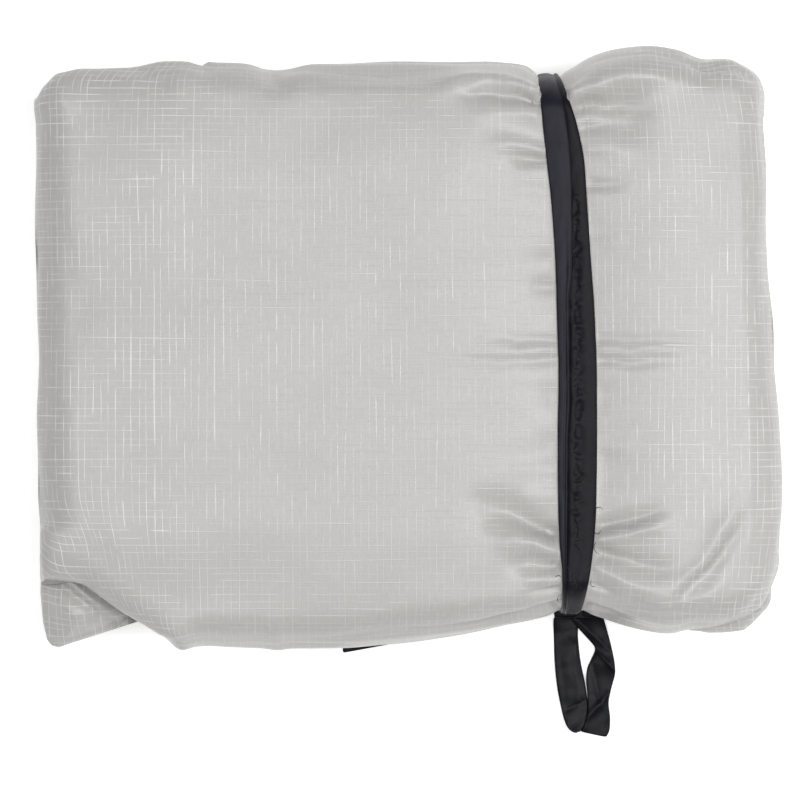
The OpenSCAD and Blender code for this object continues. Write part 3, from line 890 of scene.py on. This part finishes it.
def strand(name, near, far, thick, inner_gap, bulge, seed, material, node, relief):
    """One strand: a closed section swept round the pad between two edges seen from above."""
    across = 13
    rows, uv = [], []
    for (_, y, z), out, run in zip(ring_path, ring_out, ring_length):
        under = ramp(z, 30 * MM, 12 * MM)
        a = near(y) * (1 - under) + (band_mid(y) + (near(0.0) - band_mid(0.0))) * under
        b = far(y) * (1 - under) + (band_mid(y) + (far(0.0) - band_mid(0.0))) * under
        w = np.linspace(0, 1, across)
        rise = thick + bulge * np.sin(math.pi * w) ** 0.7
        up = [(a + (b - a) * t, inner_gap + r) for t, r in zip(w, rise)]
        down = [(a + (b - a) * t, inner_gap) for t in w[::-1]]
        ring = [(x, y + out[1] * h, z + out[2] * h) for x, h in up + down]
        rows.append(ring)
        wide = np.concatenate([w, w[::-1]]) * (b - a)
        uv.append(np.stack([wide, np.full(2 * across, run)], -1))
    count, around, flat = flatten(rows)
    upper = np.tile(np.arange(around) < across, count)
    crumple = wander(flat * (1.6, 0.55, 1), 0.010, seed) * 0.45 + wander(flat * (1.5, 0.7, 1), 0.0045, seed + 1) * 0.28
    outward = np.repeat(ring_out, around, axis=0)
    share = np.tile(np.concatenate([np.linspace(0, 1, across), np.linspace(1, 0, across)]), count)
    crumple = crumple * 0.6 + relief(flat, share)
    flat = flat + outward * (crumple * MM * upper * ramp(flat[:, 2], 8 * MM, 20 * MM))[:, None]
    faces = ring_faces(count, around, join_ends=True)
    obj = mesh_object(name, flat, faces, np.concatenate(uv))
    subdivide(obj)
    obj.data.materials.append(material)
    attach(obj, "band")
    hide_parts(node)
    return obj


def left_relief(points, share):
    """A flat tape with a lengthwise fold that opens towards the front."""
    fold = np.exp(-((share - 0.80) / 0.07) ** 2) * ramp(points[:, 1], 0.052, 0.035) * 0.5
    return fold - 0.35 * np.exp(-((share - 0.62) / 0.12) ** 2) * ramp(points[:, 1], 0.06, 0.02)


def right_relief(points, share):
    """A crinkled seam along the strand, and a smooth fold on its inner side further forward."""
    seam = np.exp(-((share - 0.36) / 0.20) ** 2) * ramp(points[:, 1], 0.066, 0.048) * ramp(points[:, 1], -0.095, -0.05)
    crinkle = np.abs(wander(points * (0.8, 1.9, 1), 0.0034, 47)) * 1.5 + wander(points * (1, 1.3, 1), 0.0022, 48) * 0.5
    fold = np.exp(-((share - 0.16) / 0.10) ** 2) * ramp(points[:, 1], 0.035, 0.010) * 0.7
    return seam * (crinkle - 0.9) + fold


strand("tape_left_strand", band_left, lambda y: band_crease(y) + 0.4 * MM, 0.95 * MM, 0.35 * MM,
       0.6 * MM, 41, smooth_tape, "band_left_strand", left_relief)
strand("tape_right_strand", lambda y: band_crease(y) - 0.2 * MM, band_right, 0.7 * MM, 0.35 * MM,
       0.9 * MM, 43, dark_tape, "band_right_strand", right_relief)


def band_top(x, y):
    """A point on the band's outer face over the top of the pad."""
    top = ring_path[:np.argmax(ring_path[:, 1]) + 1]
    z = np.interp(y, top[:, 1], top[:, 2])
    share = np.clip((x - band_crease(y)) / (band_right(y) - band_crease(y)), 0, 1)
    return np.array([x, y, z + 1.35 * MM + 0.9 * MM * math.sin(math.pi * share) ** 0.7])


def fibres(name, paths, radius, material, body, sides=6):
    """Thin round fibres along the given paths, as one mesh."""
    points, faces, uv = [], [], []
    for path in paths:
        path = np.array(path, float)
        ahead = np.gradient(path, axis=0)
        ahead /= np.linalg.norm(ahead, axis=1)[:, None] + 1e-12
        side = np.cross(ahead, (0.13, 0.07, 1.0))
        side /= np.linalg.norm(side, axis=1)[:, None] + 1e-12
        upward = np.cross(side, ahead)
        base = len(points)
        thin = np.sin(np.linspace(0.25, math.pi - 0.25, len(path))) ** 0.5
        for p, a, b, t in zip(path, side, upward, thin):
            for k in range(sides):
                angle = 2 * math.pi * k / sides
                points.append(p + (a * math.cos(angle) + b * math.sin(angle)) * radius * t)
                uv.append((k / sides * 0.001, len(uv) * 0.0001))
        faces += [tuple(base + corner for corner in face) for face in tube_faces(len(path), sides)]
    obj = mesh_object(name, points, faces, uv)
    obj.data.materials.append(material)
    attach(obj, body)
    return obj


rng = np.random.default_rng(7)


def stitch(x, y, dx, dy, half, lift, low, front=-1.0):
    """A short fibre on the band through x, y; dx and dy give its direction at -1 to 1 along it."""
    path = []
    for t in np.linspace(-1, 1, 7):
        point = band_top(x + dx(t) * half * t, max(y + dy(t) * half * t, front))
        point[2] += (lift * (1 - t * t) - low) * MM
        path.append(point)
    return path


SEAM_STITCHES = 62
SEAM_BACK, SEAM_LENGTH = 0.062, 0.142       # where the seam starts, and how far forward it runs


def seam_stitches():
    """A ragged seam along the right strand: short stitches with a few loose ends."""
    paths = []
    for i in range(SEAM_STITCHES):
        y = SEAM_BACK - SEAM_LENGTH * i / (SEAM_STITCHES - 1) + rng.uniform(-0.4, 0.4) * MM
        x = band_crease(y) + (band_right(y) - band_crease(y)) * (0.32 + 0.10 * math.sin(i * 0.55))
        x += rng.uniform(-0.4, 0.4) * MM
        turn = rng.uniform(-0.9, 0.9) + (1.3 if i % 5 == 0 else 0)
        half = rng.uniform(0.9, 1.7) * MM
        paths.append(stitch(x, y, lambda t: math.sin(turn), lambda t: math.cos(turn), half, 0.16, 0.05))
    return paths


def loose_threads():
    """Curled threads beside the band's right edge and across its front end."""
    paths = []
    for x, y, size, bend in ((77.6, -66.5, 1.8, 0.6), (76.9, -73.5, 1.3, 2.9), (77.6, -80.5, 2.0, 1.4),
                             (75.4, -95.0, 1.2, 2.2), (61.2, -93.5, 1.3, 0.4), (62.0, -101.5, 1.2, 1.2),
                             (68.6, 35.0, 1.9, 0.3), (68.9, 33.6, 1.7, 2.4), (69.4, 11.0, 1.6, 1.0)):
        path = []
        for t in np.linspace(0, 1, 12):
            angle = bend + t * 3.4
            px, py = (x + size * math.cos(angle)) * MM, (y + size * 1.25 * math.sin(angle)) * MM
            point = band_top(px, py)
            point[2] = max(point[2] - 0.2 * MM, crown(px, py) + 0.5 * MM) + 0.25 * MM
            path.append(point)
        paths.append(path)
    return paths


FRAYED = 34
FRAY_FRONT, FRAY_BACK = -0.1085, -0.089
BAND_FRONT = -0.1088        # no fibre goes further forward


def frayed_end():
    """Pale frayed fibres at the band's front end."""
    paths = []
    for _ in range(FRAYED):
        y = rng.uniform(FRAY_FRONT, FRAY_BACK)
        x = band_left(y) + (band_right(y) - band_left(y)) * rng.uniform(0.12, 0.95)
        turn, half = rng.uniform(0, math.pi), rng.uniform(0.6, 1.9) * MM
        paths.append(stitch(x, y, lambda t: math.cos(turn + 0.4 * t), lambda t: math.sin(turn + 0.4 * t), half,
                            0.12, 0.0, BAND_FRONT))
    return paths


stitches = fibres("band_seam", seam_stitches(), 0.17 * MM, thread, "band")
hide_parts("band_stitching")
fibres("loose_threads", loose_threads(), 0.11 * MM, thread, "band")
pale_thread = tape_cloth("pale_thread", (0.055, 0.056, 0.068), (0.20, 0.20, 0.22), 0.6)
fibres("frayed_fibres", frayed_end(), 0.07 * MM, pale_thread, "band", sides=5)


# ---- neck, tail, tacking and loop

def spline(values, rows):
    """Rows of values eased through the given ones."""
    values = np.array(values, float)
    padded = np.concatenate([[2 * values[0] - values[1]], values, [2 * values[-1] - values[-2]]])
    out = []
    for t in np.linspace(0, len(values) - 1, rows):
        i = min(int(t), len(values) - 2)
        f = t - i
        a, b, c, d = padded[i:i + 4]
        out.append(0.5 * (2 * b + (c - a) * f + (2 * a - 5 * b + 4 * c - d) * f * f
                          + (3 * b - a - 3 * c + d) * f ** 3))
    return np.array(out)


GROUND_GAP = 0.05           # millimetres under a tape that lies on the ground
FLOOR_CLEAR = 0.00005       # no point of a tape is lower


def strip(name, sections, rows, thick, bulge, rough, seed, material, body, node, across=9, folds=()):
    """A length of tape given by its two edges in millimetres.

    Each section is (left x, y, z, right x, y, z), or without z on the ground.
    """
    sections = [c if len(c) == 6 else (c[0], c[1], GROUND_GAP, c[2], c[3], GROUND_GAP) for c in sections]
    edge = spline(sections, rows) * MM
    w = np.linspace(0, 1, across)
    rings, uv, run = [], [], 0.0
    for i, row in enumerate(edge):
        a, b = row[:3], row[3:]
        if i:
            run += np.linalg.norm((a + b - edge[i - 1][:3] - edge[i - 1][3:]) / 2)
        base = a + (b - a) * w[:, None]
        rise = thick + bulge * np.sin(math.pi * w) ** 0.6
        top = base + np.outer(rise, (0, 0, 1))
        rings.append(np.concatenate([top, base[::-1]]))
        wide = np.linalg.norm(b - a)
        uv.append(np.stack([np.concatenate([w, w[::-1]]) * wide, np.full(2 * across, run)], -1))
    count, around, flat = flatten(rings)
    upper = np.tile(np.arange(around) < across, count)
    flat[:, 2] += upper * (wander(flat, 0.012, seed) * 0.5 + wander(flat, 0.0045, seed + 1) * 0.14) * rough * MM
    for line, rise, half in folds:
        line = np.array(line, float) * MM
        size = np.linalg.norm(line[1] - line[0])
        d = (line[1] - line[0]) / size
        gap = (flat[:, 0] - line[0][0]) * d[1] - (flat[:, 1] - line[0][1]) * d[0]
        run_on = (flat[:, 0] - line[0][0]) * d[0] + (flat[:, 1] - line[0][1]) * d[1]
        inside = ramp(run_on, -2 * MM, 1 * MM) * ramp(run_on, size + 2 * MM, size - 1 * MM)
        flat[:, 2] += upper * inside * rise * MM * np.exp(-np.abs(gap) / (half * MM))
    flat[:, 2] = np.maximum(flat[:, 2], FLOOR_CLEAR)
    faces = tube_faces(count, around)
    obj = mesh_object(name, flat, faces, np.concatenate(uv))
    subdivide(obj)
    obj.data.materials.append(material)
    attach(obj, body)
    if node:
        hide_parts(node)
    return obj


strip("neck_left", [(61.3, -66, 71.3, -66), (61.1, -90, 71.4, -90), (61, -111.4, 71.3, -111.4)],
      24, 0.7 * MM, 0.12 * MM, 0.15, 51, dark_tape, "band", "loop_neck")
strip("neck_right", [(72.9, -66, 81.9, -66), (72.8, -90, 82, -90), (73, -111.4, 82, -111.4)],
      24, 0.7 * MM, 0.12 * MM, 0.15, 53, dark_tape, "band", None)
strip("tape_free_end", [(60.9, -109.3, 61.0, -99.6), (38, -113.5, 38.6, -103.9), (10, -119.2, 10.8, -109),
                        (-10, -123.1, -9, -112.6), (-27.3, -126.3, -25.6, -115.8)],
      44, 0.75 * MM, 0.15 * MM, 0.25, 55, dark_tape, "band", "tape_tail")


TACK_ROWS = 9
TACK_BACK, TACK_PITCH = -99, 0.92           # in millimetres


def tack_rows():
    """Zigzag rows of stitches across both strands under the pad."""
    paths = []
    for i in range(TACK_ROWS):
        y = (TACK_BACK - TACK_PITCH * i) * MM
        paths.append([(x * MM, y + (0.2 * MM if k % 2 else -0.2 * MM), (1.02 if k % 2 else 1.2) * MM)
                      for k, x in enumerate(np.linspace(62.4, 80.6, 25))])
    return paths


tacks = fibres("tack_stitches", tack_rows(), 0.20 * MM, thread, "band")
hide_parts("bar_tack")

strip("neck_end", [(61.6, -104.0, 81.6, -104.0), (61.1, -112, 82, -112), (61.2, -113.4, 82, -113.4)],
      6, 0.24 * MM, 0.05 * MM, 0.0, 57, loop_tape, "band", None)
strip("loop_flat_leg", [
    (60.9, -111.5, 0.5, 71.3, -111.5, 0.5), (60.8, -114, 0.4, 71.3, -113.5, 0.4), (61.0, -120, 0.1, 71.2, -119.5, 0.2),
    (61.3, -130, 0.1, 72.2, -129, 0.5), (62.3, -140, 0.1, 74.0, -138, 0.8), (63.7, -147.4, 0.2, 75.0, -144.5, 1.0),
    (65.2, -153.6, 0.6, 75.4, -150.5, 1.2), (66.8, -157.2, 1.2, 74.6, -154.6, 1.3),
    (68.8, -158.9, 1.6, 73.0, -157.5, 1.4), (70.2, -159.3, 1.6, 71.9, -158.7, 1.4)],
    76, 1.15 * MM, 0.7 * MM, 1.6, 61, loop_tape, "loop", "tape_loop", across=13,
    folds=[([(69.5, -122), (71.5, -147)], 0.6, 1.0), ([(63.5, -128), (66, -148)], -0.5, 1.2),
           ([(66, -150), (74, -146)], -0.7, 1.2)])
strip("loop_twisted_leg", [
    (67.6, -111.5, 1.4, 81.9, -111.6, 0.6), (68.8, -113.0, 1.5, 82.5, -113.8, 0.9),
    (70.4, -115.0, 1.4, 83.4, -117.0, 1.1), (74.6, -119.6, 0.9, 84.8, -122.4, 1.6),
    (77.7, -123.2, 0.6, 85.9, -127.5, 2.2), (77.9, -125.4, 0.6, 86.5, -131.5, 2.6),
    (76.4, -128.8, 0.6, 86.5, -135.0, 2.5), (74.9, -132.4, 0.8, 85.5, -139.0, 1.9),
    (74.4, -137.4, 1.2, 84.5, -143.0, 1.5), (74.9, -143.5, 1.6, 83.9, -147.2, 1.1),
    (75.0, -150.5, 2.0, 84.5, -152.7, 0.8), (73.6, -156.0, 1.9, 84.3, -158.1, 0.6),
    (72.0, -158.8, 1.4, 82.9, -161.2, 0.5)],
    84, 0.95 * MM, 0.5 * MM, 1.4, 65, loop_tape, "loop", None, across=13,
    folds=[([(71.5, -156.5), (84.5, -142.5)], 1.3, 1.1), ([(77, -123), (86, -133)], 0.9, 1.1),
           ([(70, -111.5), (84, -125)], 0.7, 1.2), ([(77, -131), (80, -146)], -0.8, 1.3)])


# ---- lower layers that show at two corners

def layered_corner(name, inner_line, outer_line, top_in, top_out, thick, material, valleys=(), fine=1):
    """Layers that come out from under the wrap: a soft slab between a hidden line and a visible outline."""
    rows, across, lip = 46 * fine, 14 * fine, 6
    t_rows = np.linspace(0, 1, rows)

    def along(line):
        line = np.array(line, float) * MM
        d = np.concatenate([[0], np.cumsum(np.linalg.norm(np.diff(line, axis=0), axis=1))])
        return np.stack([np.interp(t_rows * d[-1], d, line[:, k]) for k in (0, 1)], -1)

    a, b = along(inner_line), along(outer_line)
    rings = []
    for i in range(rows):
        ring = []
        reach = b[i] - a[i]
        length = np.linalg.norm(reach)
        round_off = thick / 2 / length
        for t in np.linspace(0, 1, across):
            f = t * (1 - round_off)
            ring.append((*(a[i] + reach * f), (top_in + (top_out - top_in) * t ** 1.5) * MM))
        middle = top_out * MM - thick / 2
        for angle in np.linspace(0, math.pi, lip + 2)[1:-1]:
            f = 1 - round_off + round_off * math.sin(angle)
            ring.append((*(a[i] + reach * f), middle + thick / 2 * math.cos(angle)))
        for t in np.linspace(1, 0, across):
            ring.append((*(a[i] + reach * t * (1 - round_off)), (top_out * MM - thick)))
        rings.append(ring)
    count, around, flat = flatten(rings)
    upper = np.tile(np.arange(around) < across + 2, count)
    x, y = flat[:, 0], flat[:, 1]
    height = wander(flat, 0.02, 71) * 0.5 * MM
    for line, depth, start_half, end_half in valleys:
        near, _ = line_field(x, y, line, start_half, end_half)
        height = height + depth * MM * near
    flat[:, 2] += upper * height
    faces = tube_faces(count, around)
    obj = mesh_object(name, flat, faces, flat[:, :2] + flat[:, 2:3] * (0.1, 0.2))
    subdivide(obj)
    obj.data.materials.append(material)
    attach(obj, "pad")
    return obj


layered_corner(
    "corner_layers", [(-143, -74), (-130, -82), (-112, -92), (-94, -104)],
    [(-149.4, -76), (-150.4, -90), (-150.7, -100), (-149.6, -112), (-147.9, -119.4), (-146.0, -121.9),
     (-142.8, -122.6), (-139.0, -121.2), (-128, -117.7), (-113, -112.8), (-94, -106)],
    57, 36, 8 * MM, outer_fabric,
    valleys=[([(-166, -80), (-150, -90.2), (-141, -96.3), (-128.4, -105.6), (-118, -113.4)], -6.5, 2.4, 2.6),
             ([(-156, -80), (-136, -97), (-126.4, -105.6), (-116, -114)], 3.4, 2.0, 2.0),
             ([(-160, -76), (-131, -96.6), (-111.6, -109.4), (-98, -118)], -9.5, 3.2, 3.6),
             ([(-168, -88), (-147.6, -100), (-138, -108), (-128, -117)], 1.4, 2.4, 2.4)], fine=2)
layered_corner(
    "corner_layers_low", [(-140, -70), (-128, -80), (-112, -90), (-96, -100)],
    [(-145.0, -74), (-146.8, -88), (-148.4, -99), (-148.2, -104), (-146.8, -114), (-144.6, -118.6), (-141.8, -119.8),
     (-136.5, -118.4), (-126, -115.2), (-112, -110.9), (-96, -105)],
    22, 20, 17 * MM, inner_fabric)
layered_corner(
    "fold_corner_layers", [(104, -92), (124, -88), (134, -80)],
    [(103, -112), (112, -114.6), (117.6, -116.2), (119.6, -116.0), (123.4, -116.9), (131, -116.8), (138.6, -115.9),
     (141.6, -113.6), (148.6, -106.2), (149.8, -103.6), (150.4, -92), (150.6, -82)],
    58, 36, 16 * MM, outer_fabric, valleys=[([(134, -109), (142, -100), (146, -92)], 0.9, 4, 4)])
layered_corner(
    "fold_corner_layers_low", [(104, -92), (124, -88), (134, -80)],
    [(103, -111), (117, -114.4), (131, -115.2), (138, -114), (146.6, -105.2), (148.8, -92), (148.8, -82)],
    20, 18, 15 * MM, inner_fabric)
